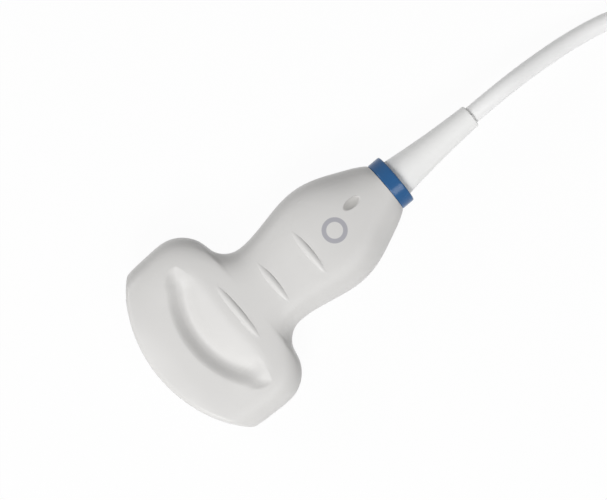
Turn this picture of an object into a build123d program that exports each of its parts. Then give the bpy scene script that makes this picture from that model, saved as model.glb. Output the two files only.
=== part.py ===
from build123d import *
import os
from math import asin, atan2, copysign, cos, degrees, hypot, pi, radians, sin, sqrt, tan

# Convex ultrasound transducer probe, lying on its back, in millimetres.
# +X runs from the lens to the cable, +Z is up, and the origin is below the middle of the probe on the table.
# Places along the probe are distances behind the front rim of the housing.

# Housing in plan
nose_radius = 58.0
nose_half_width = 37.2
head_half_width = 41.0
head_widest_at = 33.0
shoulder_radius = 15.0
neck_half_width = 19.1
neck_at = 58.0
grip_half_width = 23.1
grip_at = 88.0
body_length = 118.6
tail_radius = 11.3
tail_fall = 1.6

# Housing in depth
nose_half_depth = 13.0
neck_half_depth = 11.9
grip_half_depth = 13.0
nose_flat = 26.0

# Roundness of the cross sections: powers of a superellipse across and in depth
head_power_across = 8.0
neck_power_across = 3.6
grip_power_across = 3.2
head_power_deep = 2.6
grip_power_deep = 2.4
tail_power = 2.0

# Moulded shells
wall = 2.4
rim_round = 2.2
lip_wall = 1.2
lip_height = 1.5
lip_play = 0.1
lip_ledge = 0.4
lip_from = 24.0
lip_to = 106.0
post_radius = 2.5
post_places = ((36.0, 30.0), (88.0, 15.5))

# Scoop below the nose band, on both faces
scoop_end = 36.0
scoop_tilt = 11.0
scoop_radius = 44.0
scoop_foot = 6.0
scoop_edge_round = 1.5

# Grip ridges on both faces and the orientation dimple on the front face
ridge_places = (41.1, 59.5, 78.2)
ridge_lengths = (29.0, 21.0, 21.5)
ridge_radius = 2.2
ridge_rise = 0.8
ridge_reach = 1.3
dimple_at = 103.7
dimple_side = 4.1
dimple_length = 8.6
dimple_radius = 3.0
dimple_depth = 0.9

# Acoustic stack behind the front window
lens_half_width = 32.9
lens_half_height = 8.8
lens_corner = 3.0
lens_proud = 0.9
lens_edge_proud = 0.1
lens_skin = 1.0
bond = 0.05
matching_layer = 0.25
element_depth = 0.45
element_count = 96
element_share = 0.86
array_half_angle = 33.0
array_half_height = 8.2
backing_depth = 11.8
fit = 0.1

# Chassis that carries the stack, the boards and the cable clamp
carrier_depth = 3.5
carrier_half_height = 5.6
plate_half_thickness = 1.0
plate_play = 0.2
plate_end = 98.0
fork_end = 110.0
fork_half_gap = 7.2
window_length = 16.0
window_width = 12.0
window_corner = 2.0

# Flex circuits
flex_thickness = 0.2
flex_front = 56.2
flex_step_from = 43.6
flex_step_to = 39.6
flex_fan_end = 30.0
flex_low = 6.3
flex_half_width = 10.2

# Interface boards, sockets, shields and their fasteners
board_low = 4.4
board_thickness = 1.2
board_from = 54.5
board_to = 97.0
board_half_width = 12.5
socket_from = 55.5
socket_length = 5.0
socket_half_width = 11.5
socket_height = 1.9
socket_slot_depth = 2.5
shield_from = 66.5
shield_to = 90.0
shield_half_width = 11.0
shield_height = 2.5
shield_sheet = 0.3
standoff_places = (63.5, 93.3)
standoff_side = 9.8
standoff_radius = 2.2
screw_radius = 1.0
screw_head_radius = 1.8
screw_head_height = 1.2
screw_length = 3.6
screw_play = 0.05

# Cable and what holds it in the tail
cable_radius = 3.7
cable_play = 0.1
cable_from = 103.2
bundle_half_width = 8.6
bundle_half_height = 0.6
bundle_gap = 0.1
ferrule_from = 103.8
ferrule_length = 6.4
ferrule_wall = 0.8
clamp_from = 104.5
clamp_length = 5.0
clamp_wall = 1.8
clamp_ear = 1.6
clamp_half_width = 11.4
clamp_screw_side = 9.4
cavity_end = 111.5
flange_from = 112.5
flange_thickness = 2.0
flange_radius = 8.8
relief_neck_radius = 6.5
seal_from = 115.6
seal_thickness = 1.4
ring_width = 6.0
ring_radius = 11.2
ring_round = 0.7
relief_length = 39.4
relief_base_radius = 8.3
relief_waist_radius = 6.2
relief_tip_radius = 5.0
relief_round = 0.8

# Coil of the put-away cable and its strap
coil_columns = 3
coil_layers = 3
coil_middle_radius = 37.0
coil_round = 3.5
coil_stub = 28.0
coil_stub_inset = 0.2
lead_heading = -25.0
tail_heading = 30.0
strap_thickness = 1.0
strap_play = 0.05
strap_arc = 20.0
strap_angle = 100.0

# System connector at the cable's end, lying on its contact face
connector_length = 92.0
connector_width = 58.0
connector_height = 36.0
connector_corner = 9.0
connector_edge = 4.0
connector_wall = 2.2
connector_lift = 1.6
block_length = 72.0
block_width = 38.0
block_corner = 4.0
block_flange = 1.0
block_flange_thickness = 2.2
block_height = 11.0
pad_size = 2.4
pad_depth = 0.6
pad_pitch = 4.4
pad_columns = 5
pad_rows = 6
pad_field_at = 23.0
board_sheet = 1.6
connector_board_length = 62.0
connector_board_width = 42.0
boss_radius = 4.2
boss_inset = 6.2
case_screw_radius = 1.5
case_screw_head = 2.8
case_screw_head_height = 2.0
case_screw_length = 16.0
screw_socket = 1.5
screw_socket_depth = 1.2
groove_count = 6
groove_pitch = 6.0
groove_width = 2.6
groove_length = 20.0
groove_depth = 0.8
boot_length = 22.0
boot_base_radius = 7.4
boot_tip_radius = 5.0
boot_collar_radius = 9.0
boot_collar_thickness = 2.4
entry_length = 40.0
entry_ferrule_length = 8.0

# Rotary lock of the connector
shaft_radius = 4.0
shaft_play = 0.08
cam_length = 15.0
cam_width = 5.0
cam_height = 3.4
cam_recess = 0.5
cam_pocket_radius = 9.0
cam_pocket_depth = 4.4
clip_groove = 0.6
clip_width = 2.4
clip_thickness = 0.8
clip_drop = 0.2
lever_gap = 0.4
lever_hub_radius = 11.0
lever_height = 8.0
lever_reach = 38.0
lever_tip_radius = 6.5
lever_round = 2.0
lever_screw_radius = 1.5
lever_screw_head = 3.0
lever_screw_length = 9.0
lever_screw_head_height = 2.0
lever_mark_at = 31.0
lever_mark_length = 15.0
lever_mark_width = 2.4
lever_mark_depth = 0.7

# What follows from the driving sizes
neck_rise = head_half_width - neck_half_width
neck_radius = hypot(neck_at - head_widest_at, neck_rise) ** 2 / (2 * neck_rise) - shoulder_radius
shoulder_lean = atan2(shoulder_radius + neck_radius - neck_rise, neck_at - head_widest_at)
overall_length = lens_proud + body_length + ring_width + relief_length
rim_x = lens_proud - overall_length / 2


def along(distance):
    """X of a place that lies a distance behind the front rim."""
    return rim_x + distance


def eased(start, end, share):
    """Value that leaves start and reaches end with no slope, for a share of the way."""
    held = min(max(share, 0.0), 1.0)
    return start + (end - start) * (1 - cos(pi * held)) / 2


def half_width(distance, inset):
    """Half width of the housing, or of the form that lies an inset inside it."""
    turn = head_widest_at + (shoulder_radius - inset) * cos(shoulder_lean)
    if distance <= head_widest_at:
        taper = ((head_widest_at - distance) / head_widest_at) ** 2
        return head_half_width - inset - (head_half_width - nose_half_width) * taper
    if distance <= turn:
        drop = sqrt((shoulder_radius - inset) ** 2 - (distance - head_widest_at) ** 2)
        return head_half_width - shoulder_radius + drop
    if distance <= neck_at:
        drop = sqrt((neck_radius + inset) ** 2 - (neck_at - distance) ** 2)
        return neck_half_width + neck_radius - drop
    if distance <= grip_at:
        share = (distance - neck_at) / (grip_at - neck_at)
        return eased(neck_half_width, grip_half_width, share) - inset
    fall = ((distance - grip_at) / (body_length - grip_at)) ** tail_fall
    return grip_half_width - inset - (grip_half_width - tail_radius) * fall


def half_depth(distance):
    """Half depth of the housing on its centre line."""
    if distance <= neck_at:
        share = (distance - nose_flat) / (neck_at - nose_flat)
        return eased(nose_half_depth, neck_half_depth, share)
    if distance <= grip_at:
        share = (distance - neck_at) / (grip_at - neck_at)
        return eased(neck_half_depth, grip_half_depth, share)
    fall = ((distance - grip_at) / (body_length - grip_at)) ** tail_fall
    return grip_half_depth - (grip_half_depth - tail_radius) * fall


def section_powers(distance):
    """Powers across and in depth of the superellipse at a place."""
    if distance <= neck_at:
        share = (distance - nose_flat) / (neck_at - nose_flat)
        deep = eased(head_power_deep, grip_power_deep, share)
        return eased(head_power_across, neck_power_across, share), deep
    if distance <= grip_at:
        share = (distance - neck_at) / (grip_at - neck_at)
        return eased(neck_power_across, grip_power_across, share), grip_power_deep
    share = (distance - grip_at) / (body_length - grip_at)
    return eased(grip_power_across, tail_power, share), eased(grip_power_deep, tail_power, share)


def face_height(distance, side):
    """Height of the housing's face above its middle plane at a place off the centre line."""
    across, deep = section_powers(distance)
    share = abs(side) / half_width(distance, 0)
    return half_depth(distance) * (1 - share**across) ** (1 / deep)


# The probe lies on its rear ridges, or on its nose and grip where these stand lower
lowest_points = [nose_half_depth, grip_half_depth]
for ridge_place in ridge_places:
    lowest_points.append(half_depth(ridge_place) + ridge_rise)
mid_height = max(lowest_points)
mid_plane = Plane.XY.offset(mid_height)
axis_line = Axis((0, 0, mid_height), (1, 0, 0))
array_centre = Vector(along(nose_radius), 0, mid_height)
array_axis = Axis(array_centre, (0, 0, 1))


def cross_plane(distance):
    """Plane across the probe, with its own X along +Y and its own Y up."""
    return Plane(origin=(along(distance), 0, mid_height), x_dir=(0, 1, 0), z_dir=(1, 0, 0))


def long_plane():
    """Upright plane through the probe's axis, with its own X along +X and its own Y up."""
    return Plane(origin=(rim_x, 0, mid_height), x_dir=(1, 0, 0), z_dir=(0, -1, 0))


def radial_plane(angle):
    """Upright plane through the array's centre, with its own X outwards at an angle from the nose."""
    turn = radians(angle)
    outwards = (-cos(turn), -sin(turn), 0)
    return Plane(origin=array_centre, x_dir=outwards, z_dir=(-sin(turn), cos(turn), 0))


def section_stations(inset, end):
    """Places of the loft's cross sections, close together round the shoulder and the neck."""
    arc_steps = 6
    grip_steps = 7
    places = [-0.1 * nose_flat, 0.25 * nose_flat, 0.6 * nose_flat, nose_flat]
    for step in range(arc_steps):
        angle = pi / 2 + (shoulder_lean - pi / 2) * step / arc_steps
        places.append(head_widest_at + (shoulder_radius - inset) * cos(angle))
    for step in range(arc_steps + 1):
        angle = shoulder_lean + (pi / 2 - shoulder_lean) * step / arc_steps
        places.append(neck_at - (neck_radius + inset) * cos(angle))
    for step in range(1, grip_steps + 1):
        places.append(neck_at + (end - neck_at) * step / grip_steps)
    return places


def section_points(distance, inset):
    """Points of one closed cross section, every 15 degrees round a superellipse."""
    across, deep = section_powers(distance)
    wide = half_width(distance, inset)
    high = half_depth(distance) - inset
    points = []
    for step in range(24):
        cosine = cos(radians(15 * step))
        sine = sin(radians(15 * step))
        y = copysign(wide * abs(round(cosine, 9)) ** (2 / across), cosine)
        z = copysign(high * abs(round(sine, 9)) ** (2 / deep), sine)
        points.append((y, z))
    return points


def housing_form(inset, end):
    """Solid that lies an inset inside the housing, with the nose cut to its arc."""
    with BuildPart() as form:
        for distance in section_stations(inset, end):
            with BuildSketch(cross_plane(distance)):
                with BuildLine():
                    Spline(*section_points(distance, inset), periodic=True)
                make_face()
        loft()
        with BuildSketch(mid_plane):
            with Locations((rim_x, 0)):
                Rectangle(nose_radius, 3 * head_half_width)
            with Locations((along(nose_radius), 0)):
                Circle(nose_radius - inset, mode=Mode.SUBTRACT)
        extrude(amount=2 * nose_half_depth, both=True, mode=Mode.SUBTRACT)
    return form.part


def scoop_form(inset):
    """Tilted disc with a rounded foot that hollows the front face below the nose band."""
    tilt = radians(scoop_tilt)
    normal = Vector(-sin(tilt), 0, cos(tilt))
    height = mid_height + half_depth(scoop_end) + (nose_radius - scoop_end) * tan(tilt)
    floor_centre = Vector(along(nose_radius), 0, height) - normal * inset
    floor_plane = Plane(origin=floor_centre, x_dir=(cos(tilt), 0, sin(tilt)), z_dir=normal)
    with BuildPart(floor_plane) as disc:
        Cylinder(scoop_radius + inset, scoop_radius, align=(Align.CENTER, Align.CENTER, Align.MIN))
        foot = disc.faces().sort_by(Axis(floor_centre, normal))[0].edges()
        fillet(foot, scoop_foot + inset)
    return disc.part


def spindle(place, direction, outwards, length, radius, rise):
    """Lemon-shaped bar that breaks a surface over a length, with its crest a rise above it."""
    reach = length / 2 * sqrt(radius / rise)
    centre = Vector(place) - Vector(outwards) * (radius - rise)
    normal = Vector(direction).cross(Vector(outwards))
    with BuildPart() as bar:
        with BuildSketch(Plane(origin=centre, x_dir=direction, z_dir=normal)):
            with BuildLine():
                Bezier((-reach, 0), (0, 2 * radius), (reach, 0))
                Line((reach, 0), (-reach, 0))
            make_face()
        revolve(axis=Axis(centre, direction))
    return bar.part


def ridge(place, length):
    """Bar bent tighter than the face, so that it rises out of it over a length."""
    half = length / 2
    sink = face_height(place, 0) - face_height(place, half) + ridge_rise
    crest = (half**2 + sink**2) / (2 * sink)
    centre = Vector(along(place), 0, mid_height + face_height(place, 0) + ridge_rise - crest)
    swing = asin(ridge_reach * half / crest)
    with BuildPart() as bar:
        section = Plane(origin=centre, x_dir=(0, sin(swing), cos(swing)), z_dir=(0, -cos(swing), sin(swing)))
        with BuildSketch(section):
            with Locations((crest - ridge_radius, 0)):
                Circle(ridge_radius)
        revolve(axis=Axis(centre, (1, 0, 0)), revolution_arc=degrees(2 * swing))
    return bar.part


def side_line(first, last, inset, side):
    """Points in plan along one side of the form at an inset, between two places."""
    between = [place for place in section_stations(inset, body_length) if first < place < last]
    return [(along(place), side * half_width(place, inset)) for place in (first, *between, last)]


def strip_face(first_line, second_line):
    """Face in plan between two lines of points that run the same way."""
    with BuildSketch() as strip:
        with BuildLine():
            Spline(*first_line)
            Line(first_line[-1], second_line[-1])
            Spline(*second_line)
            Line(second_line[0], first_line[0])
        make_face()
    return strip.sketch


def side_walls(first, last, outer_inset, inner_inset):
    """Faces in plan of both side walls between two places, from one inset to another."""
    faces = []
    for side in (1, -1):
        outer_line = side_line(first, last, outer_inset, side)
        faces.append(strip_face(outer_line, side_line(first, last, inner_inset, side)))
    return faces


outer_form = housing_form(0, body_length)
cavity_form = housing_form(wall, cavity_end)
scoop = scoop_form(0)
scoop_core = scoop_form(wall)
ridges = [ridge(place, length) for place, length in zip(ridge_places, ridge_lengths)]

# Hollow of the front half
with BuildPart() as cavity:
    add(cavity_form)
    split(bisect_by=mid_plane, keep=Keep.TOP)
    add(scoop_core, mode=Mode.SUBTRACT)

# Front half of the housing before its lip, which the rear half mirrors
with BuildPart() as half_shell:
    add(outer_form)
    nose_edges = half_shell.faces().filter_by(GeomType.CYLINDER).edges()
    fillet(nose_edges, rim_round)
    split(bisect_by=mid_plane, keep=Keep.TOP)
    add(scoop, mode=Mode.SUBTRACT)
    scoop_edges = half_shell.faces().filter_by(GeomType.TORUS).edges()
    fillet(scoop_edges.filter_by(GeomType.CIRCLE, reverse=True), scoop_edge_round)
    add(ridges)
    add(cavity.part, mode=Mode.SUBTRACT)
    with BuildSketch(cross_plane(-nose_radius / 10)):
        RectangleRounded(2 * (lens_half_width + fit), 2 * (lens_half_height + fit), lens_corner + fit)
    window_depth = nose_radius - sqrt((nose_radius - wall) ** 2 - lens_half_width**2)
    extrude(amount=window_depth + nose_radius / 10 + 1, mode=Mode.SUBTRACT)
    with BuildSketch(long_plane()):
        with BuildLine():
            flange_to = flange_from + flange_thickness
            bore = relief_neck_radius + fit
            seal_bore = relief_neck_radius + seal_thickness
            Polyline(
                (cavity_end - 1, 0),
                (cavity_end - 1, bore),
                (flange_from - fit, bore),
                (flange_from - fit, flange_radius + fit),
                (flange_to + fit, flange_radius + fit),
                (flange_to + fit, bore),
                (seal_from - fit, bore),
                (seal_from - fit, seal_bore + fit),
                (seal_from + seal_thickness + fit, seal_bore + fit),
                (seal_from + seal_thickness + fit, bore),
                (body_length + 1, bore),
                (body_length + 1, 0),
                close=True,
            )
        make_face()
    revolve(axis=axis_line, mode=Mode.SUBTRACT)
    for post_at, post_side in post_places:
        with BuildSketch(mid_plane.offset(plate_half_thickness + bond)):
            with Locations((along(post_at), post_side), (along(post_at), -post_side)):
                Circle(post_radius)
        extrude(amount=face_height(post_at, post_side) - wall / 2 - plate_half_thickness)

dimple_top = mid_height + face_height(dimple_at, dimple_side)
dimple_run = dimple_length / 2
dimple_near = face_height(dimple_at - dimple_run, dimple_side)
dimple_drop = dimple_near - face_height(dimple_at + dimple_run, dimple_side)
dimple_slope = atan2(dimple_drop, dimple_length)
dimple_place = (along(dimple_at), dimple_side, dimple_top)
dimple_line = (cos(dimple_slope), 0, -sin(dimple_slope))
dimple_inwards = (-sin(dimple_slope), 0, -cos(dimple_slope))
dimple = spindle(dimple_place, dimple_line, dimple_inwards, dimple_length, dimple_radius, dimple_depth)

with BuildPart() as front_shell:
    add(half_shell.part)
    add(dimple, mode=Mode.SUBTRACT)
    with BuildSketch(mid_plane):
        add(side_walls(lip_from - lip_play, lip_to + lip_play, lip_wall, wall + plate_play))
    extrude(amount=lip_height + lip_play, mode=Mode.SUBTRACT)

with BuildPart() as rear_shell:
    add(mirror(half_shell.part, about=mid_plane, mode=Mode.PRIVATE))
    with BuildSketch(mid_plane):
        add(side_walls(lip_from, lip_to, lip_wall + lip_play, wall - lip_ledge))
    extrude(amount=lip_height)


# Acoustic stack, from the lens inwards
lens_inner = nose_radius - lens_skin
outer_match_outer = lens_inner - bond
inner_match_outer = outer_match_outer - matching_layer - bond
element_outer = inner_match_outer - matching_layer - bond
backing_outer = element_outer - element_depth - bond
backing_inner = backing_outer - backing_depth
carrier_outer = backing_inner - bond
carrier_inner = carrier_outer - carrier_depth


def stack_profile(inner, outer, half_height):
    """Rectangle of one layer of the stack between two radii."""
    with Locations(((inner + outer) / 2, 0)):
        Rectangle(outer - inner, 2 * half_height)


with BuildPart() as acoustic_lens:
    with BuildSketch(radial_plane(-2 * array_half_angle)):
        with BuildLine():
            Line((lens_inner, -lens_half_height), (nose_radius + lens_edge_proud, -lens_half_height))
            ThreePointArc(
                (nose_radius + lens_edge_proud, -lens_half_height),
                (nose_radius + lens_proud, 0),
                (nose_radius + lens_edge_proud, lens_half_height),
            )
            Line((nose_radius + lens_edge_proud, lens_half_height), (lens_inner, lens_half_height))
            Line((lens_inner, lens_half_height), (lens_inner, -lens_half_height))
        make_face()
    revolve(axis=array_axis, revolution_arc=4 * array_half_angle)
    with BuildSketch(cross_plane(-nose_radius / 10)):
        RectangleRounded(2 * lens_half_width, 2 * lens_half_height, lens_corner)
    extrude(amount=nose_radius, mode=Mode.INTERSECT)

with BuildPart() as outer_matching_layer:
    with BuildSketch(radial_plane(-array_half_angle)):
        stack_profile(outer_match_outer - matching_layer, outer_match_outer, array_half_height)
    revolve(axis=array_axis, revolution_arc=2 * array_half_angle)

with BuildPart() as inner_matching_layer:
    with BuildSketch(radial_plane(-array_half_angle)):
        stack_profile(inner_match_outer - matching_layer, inner_match_outer, array_half_height)
    revolve(axis=array_axis, revolution_arc=2 * array_half_angle)

# Row of diced elements, one solid each
element_pitch = 2 * array_half_angle / element_count
element_width = element_outer * radians(element_pitch) * element_share
with BuildPart() as piezo_elements:
    for element in range(element_count):
        element_angle = element_pitch * (element + 0.5) - array_half_angle
        with BuildSketch(radial_plane(element_angle).offset(-element_width / 2)):
            stack_profile(element_outer - element_depth, element_outer, array_half_height)
    extrude(amount=element_width, clean=False)

with BuildPart() as backing_block:
    with BuildSketch(radial_plane(-array_half_angle)):
        stack_profile(backing_inner, backing_outer, array_half_height)
    revolve(axis=array_axis, revolution_arc=2 * array_half_angle)

# Chassis: curved carrier behind the backing, and a plate between the shells that ends in a fork
with BuildPart() as chassis:
    with BuildSketch(mid_plane):
        plate_from = nose_radius - carrier_inner * cos(radians(array_half_angle))
        plate_inset = wall + plate_play
        right_side = side_line(plate_from, fork_end, plate_inset, -1)
        add(strip_face(side_line(plate_from, fork_end, plate_inset, 1), right_side))
        with Locations((along(fork_end), 0)):
            Rectangle(2 * (fork_end - plate_end), 2 * fork_half_gap, mode=Mode.SUBTRACT)
        for window_at in (neck_at, grip_at - window_length / 2):
            with Locations((along(window_at + window_length / 2), 0)):
                RectangleRounded(window_length, window_width, window_corner, mode=Mode.SUBTRACT)
    extrude(amount=plate_half_thickness, both=True)
    with BuildSketch(mid_plane):
        with Locations((along(plate_from), 0)):
            Rectangle(2 * (plate_from - nose_radius + carrier_outer), 2 * carrier_outer)
        with Locations((along(nose_radius), 0)):
            Circle(carrier_inner + carrier_depth / 2, mode=Mode.INTERSECT)
    extrude(amount=plate_half_thickness, both=True)
    with BuildSketch(radial_plane(-array_half_angle)):
        stack_profile(carrier_inner, carrier_outer, carrier_half_height)
    revolve(axis=array_axis, revolution_arc=2 * array_half_angle)
    with Locations(mid_plane):
        for hole_at in standoff_places:
            with Locations((along(hole_at), standoff_side), (along(hole_at), -standoff_side)):
                Hole(screw_radius + screw_play)
        clamp_middle = clamp_from + clamp_length / 2
        with Locations((along(clamp_middle), clamp_screw_side), (along(clamp_middle), -clamp_screw_side)):
            Hole(screw_radius + screw_play)

# Flex circuit from the elements down to its socket, and its mirror image
with BuildPart() as front_flex:
    flex_high = array_half_height + fit
    with BuildSketch(radial_plane(-array_half_angle)):
        with BuildLine():
            Polyline(
                (flex_front, flex_high),
                (flex_step_from, flex_high),
                (flex_step_to, flex_low),
                (flex_fan_end, flex_low),
                (flex_fan_end, flex_low + flex_thickness),
                (flex_step_to, flex_low + flex_thickness),
                (flex_step_from, flex_high + flex_thickness),
                (flex_front, flex_high + flex_thickness),
                close=True,
            )
        make_face()
    revolve(axis=array_axis, revolution_arc=2 * array_half_angle)
    with BuildSketch(mid_plane.offset(flex_low)):
        flex_strip_from = nose_radius - flex_fan_end
        flex_strip_to = socket_from + socket_slot_depth - fit
        with Locations((along((flex_strip_from + flex_strip_to) / 2), 0)):
            Rectangle(flex_strip_to - flex_strip_from, 2 * flex_half_width)
    extrude(amount=flex_thickness)

with BuildPart() as rear_flex:
    add(mirror(front_flex.part, about=mid_plane, mode=Mode.PRIVATE))

# Interface board with a hole at each standoff
board_top = board_low + board_thickness
with BuildPart() as front_board:
    with BuildSketch(mid_plane.offset(board_low)):
        with Locations((along((board_from + board_to) / 2), 0)):
            RectangleRounded(board_to - board_from, 2 * board_half_width, screw_radius)
        for hole_at in standoff_places:
            with Locations((along(hole_at), standoff_side), (along(hole_at), -standoff_side)):
                Circle(screw_radius + screw_play, mode=Mode.SUBTRACT)
    extrude(amount=board_thickness)

with BuildPart() as rear_board:
    add(mirror(front_board.part, about=mid_plane, mode=Mode.PRIVATE))

# Flex socket, open towards the head
with BuildPart() as front_socket:
    with BuildSketch(mid_plane.offset(board_top)):
        with Locations((along(socket_from + socket_length / 2), 0)):
            Rectangle(socket_length, 2 * socket_half_width)
    extrude(amount=socket_height)
    with BuildSketch(mid_plane.offset(flex_low - fit)):
        with Locations((along(socket_from + socket_slot_depth / 2), 0)):
            Rectangle(socket_slot_depth, 2 * (flex_half_width + fit))
    extrude(amount=flex_thickness + 2 * fit, mode=Mode.SUBTRACT)

with BuildPart() as rear_socket:
    add(mirror(front_socket.part, about=mid_plane, mode=Mode.PRIVATE))

# Shield can folded from sheet, open towards its board
with BuildPart() as front_shield:
    shield_length = shield_to - shield_from
    with BuildSketch(mid_plane.offset(board_top)):
        with Locations((along((shield_from + shield_to) / 2), 0)):
            RectangleRounded(shield_length, 2 * shield_half_width, screw_radius)
    extrude(amount=shield_height)
    with BuildSketch(mid_plane.offset(board_top)):
        with Locations((along((shield_from + shield_to) / 2), 0)):
            inner_width = 2 * (shield_half_width - shield_sheet)
            RectangleRounded(shield_length - 2 * shield_sheet, inner_width, screw_radius - shield_sheet)
    extrude(amount=shield_height - shield_sheet, mode=Mode.SUBTRACT)

with BuildPart() as rear_shield:
    add(mirror(front_shield.part, about=mid_plane, mode=Mode.PRIVATE))


def board_places():
    """Places of the four standoffs on one face of the chassis."""
    places = []
    for place in standoff_places:
        places.append((along(place), standoff_side))
        places.append((along(place), -standoff_side))
    return places


# Standoffs on both faces of the chassis plate
with BuildPart() as board_standoffs:
    for standoff_plane in (mid_plane.offset(plate_half_thickness), mid_plane.offset(-board_low)):
        with BuildSketch(standoff_plane):
            with Locations(*board_places()):
                Circle(standoff_radius)
                Circle(screw_radius + screw_play, mode=Mode.SUBTRACT)
        extrude(amount=board_low - plate_half_thickness)

# Pan-head screws that hold both boards to the standoffs
with BuildPart() as front_screws:
    with BuildSketch(mid_plane.offset(board_top)):
        with Locations(*board_places()):
            Circle(screw_head_radius)
    extrude(amount=screw_head_height)
    with BuildSketch(mid_plane.offset(board_top - screw_length)):
        with Locations(*board_places()):
            Circle(screw_radius)
    extrude(amount=screw_length)

with BuildPart() as board_screws:
    add(front_screws.part)
    add(mirror(front_screws.part, about=mid_plane, mode=Mode.PRIVATE))

# Fan of fine coaxial wires from a board to the cable
with BuildPart() as front_wires:
    with BuildSketch(cross_plane(board_to + bundle_gap)):
        with Locations((0, board_low + board_thickness / 2)):
            Ellipse(bundle_half_width, bundle_half_height)
    with BuildSketch(cross_plane(cable_from - bundle_gap)):
        with Locations((0, cable_radius / 2)):
            Ellipse(cable_radius - 2 * bundle_half_height, cable_radius / 2 - 2 * bundle_gap)
    loft()

with BuildPart() as rear_wires:
    add(mirror(front_wires.part, about=mid_plane, mode=Mode.PRIVATE))

# Crimped ferrule on the braid
ferrule_bore = cable_radius + cable_play
ferrule_radius = ferrule_bore + ferrule_wall
with BuildPart() as braid_ferrule:
    with BuildSketch(cross_plane(ferrule_from)):
        Circle(ferrule_radius)
        Circle(ferrule_bore, mode=Mode.SUBTRACT)
    extrude(amount=ferrule_length)

# Saddle of the cable clamp, with an ear on each arm of the fork
with BuildPart() as upper_clamp:
    with BuildSketch(cross_plane(clamp_from)):
        Circle(ferrule_radius + bond + clamp_wall)
        with Locations((0, plate_half_thickness + clamp_ear / 2)):
            Rectangle(2 * clamp_half_width, clamp_ear)
        Circle(ferrule_radius + bond, mode=Mode.SUBTRACT)
        with Locations((0, plate_half_thickness - clamp_half_width)):
            Rectangle(2 * clamp_half_width, 2 * clamp_half_width, mode=Mode.SUBTRACT)
    extrude(amount=clamp_length)
    with BuildSketch(mid_plane):
        with Locations((along(clamp_middle), clamp_screw_side), (along(clamp_middle), -clamp_screw_side)):
            Circle(screw_radius + screw_play)
    extrude(amount=clamp_half_width, mode=Mode.SUBTRACT)

with BuildPart() as lower_clamp:
    add(mirror(upper_clamp.part, about=mid_plane, mode=Mode.PRIVATE))

with BuildPart() as clamp_screws:
    clamp_top = plate_half_thickness + clamp_ear
    with BuildSketch(mid_plane.offset(clamp_top)):
        with Locations((along(clamp_middle), clamp_screw_side), (along(clamp_middle), -clamp_screw_side)):
            Circle(screw_head_radius)
    extrude(amount=screw_head_height)
    with BuildSketch(mid_plane.offset(-clamp_top)):
        with Locations((along(clamp_middle), clamp_screw_side), (along(clamp_middle), -clamp_screw_side)):
            Circle(screw_radius)
    extrude(amount=2 * clamp_top)

# Sealing ring round the neck of the strain relief
with BuildPart() as tail_seal:
    with BuildSketch(long_plane()):
        with Locations((seal_from + seal_thickness / 2, relief_neck_radius + fit + seal_thickness / 2)):
            Circle((seal_thickness - fit) / 2)
    revolve(axis=axis_line)

# Coloured ring between the housing and the strain relief
with BuildPart() as colour_ring:
    with BuildSketch(cross_plane(body_length)):
        Circle(ring_radius)
        Circle(relief_neck_radius + fit, mode=Mode.SUBTRACT)
    extrude(amount=ring_width)
    ring_edges = colour_ring.edges().filter_by(GeomType.CIRCLE).group_by(SortBy.RADIUS)[-1]
    fillet(ring_edges, ring_round)

# Strain relief: flange held by the shells, neck through the ring, and a long taper
relief_from = body_length + ring_width
relief_to = relief_from + relief_length
with BuildPart() as strain_relief:
    with BuildSketch(long_plane()):
        with BuildLine():
            Polyline(
                (relief_to, relief_tip_radius),
                (relief_to, ferrule_bore),
                (flange_from, ferrule_bore),
                (flange_from, flange_radius),
                (flange_to, flange_radius),
                (flange_to, relief_neck_radius),
                (relief_from, relief_neck_radius),
                (relief_from, relief_base_radius),
            )
            ThreePointArc(
                (relief_from, relief_base_radius),
                (relief_from + relief_length / 2, relief_waist_radius),
                (relief_to, relief_tip_radius),
            )
        make_face()
    revolve(axis=axis_line)
    tip_edges = strain_relief.faces().sort_by(Axis.X)[-1].edges().sort_by(SortBy.RADIUS)[-1:]
    fillet(tip_edges, min(relief_round, (relief_tip_radius - ferrule_bore) / 2))

# Cable inside the tail and the strain relief
with BuildPart() as cable_root:
    with BuildSketch(cross_plane(cable_from)):
        Circle(cable_radius)
    extrude(amount=relief_to - cable_from)

# Coil: the turns lie a cable's diameter apart, on a strap that lifts them off the table
cable_diameter = 2 * cable_radius
coil_base = strap_thickness + strap_play
lead_turn = Vector(cos(radians(lead_heading)), sin(radians(lead_heading)), 0)
tail_turn = Vector(cos(radians(tail_heading)), sin(radians(tail_heading)), 0)
outer_turn_radius = coil_middle_radius + cable_diameter * (coil_columns - 1) / 2
coil_outer_radius = outer_turn_radius + cable_radius
coil_inner_radius = coil_outer_radius - cable_diameter * coil_columns
coil_top = coil_base + cable_diameter * coil_layers
lead_height = coil_base + cable_radius
tail_height = coil_top - cable_radius

# Lead from the strain relief to the coil
lead_route = [
    Vector(along(relief_to), 0, mid_height),
    Vector(99.5, 0, mid_height),
    Vector(117.0, -0.9, 10.0),
    Vector(134.5, -2.7, 6.3),
    Vector(151.5, -6.1, lead_height),
    Vector(166.5, -12.4, lead_height),
]
lead_route.append(lead_route[-1] + lead_turn * 14.5)
coil_entry = lead_route[-1] + lead_turn * coil_stub
coil_centre = coil_entry + Vector(-lead_turn.Y, lead_turn.X, 0) * outer_turn_radius
coil_centre = Vector(coil_centre.X, coil_centre.Y, 0)
coil_outwards = Vector(tail_turn.Y, -tail_turn.X, 0)
coil_leave = coil_centre + coil_outwards * outer_turn_radius + Vector(0, 0, tail_height)

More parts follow.
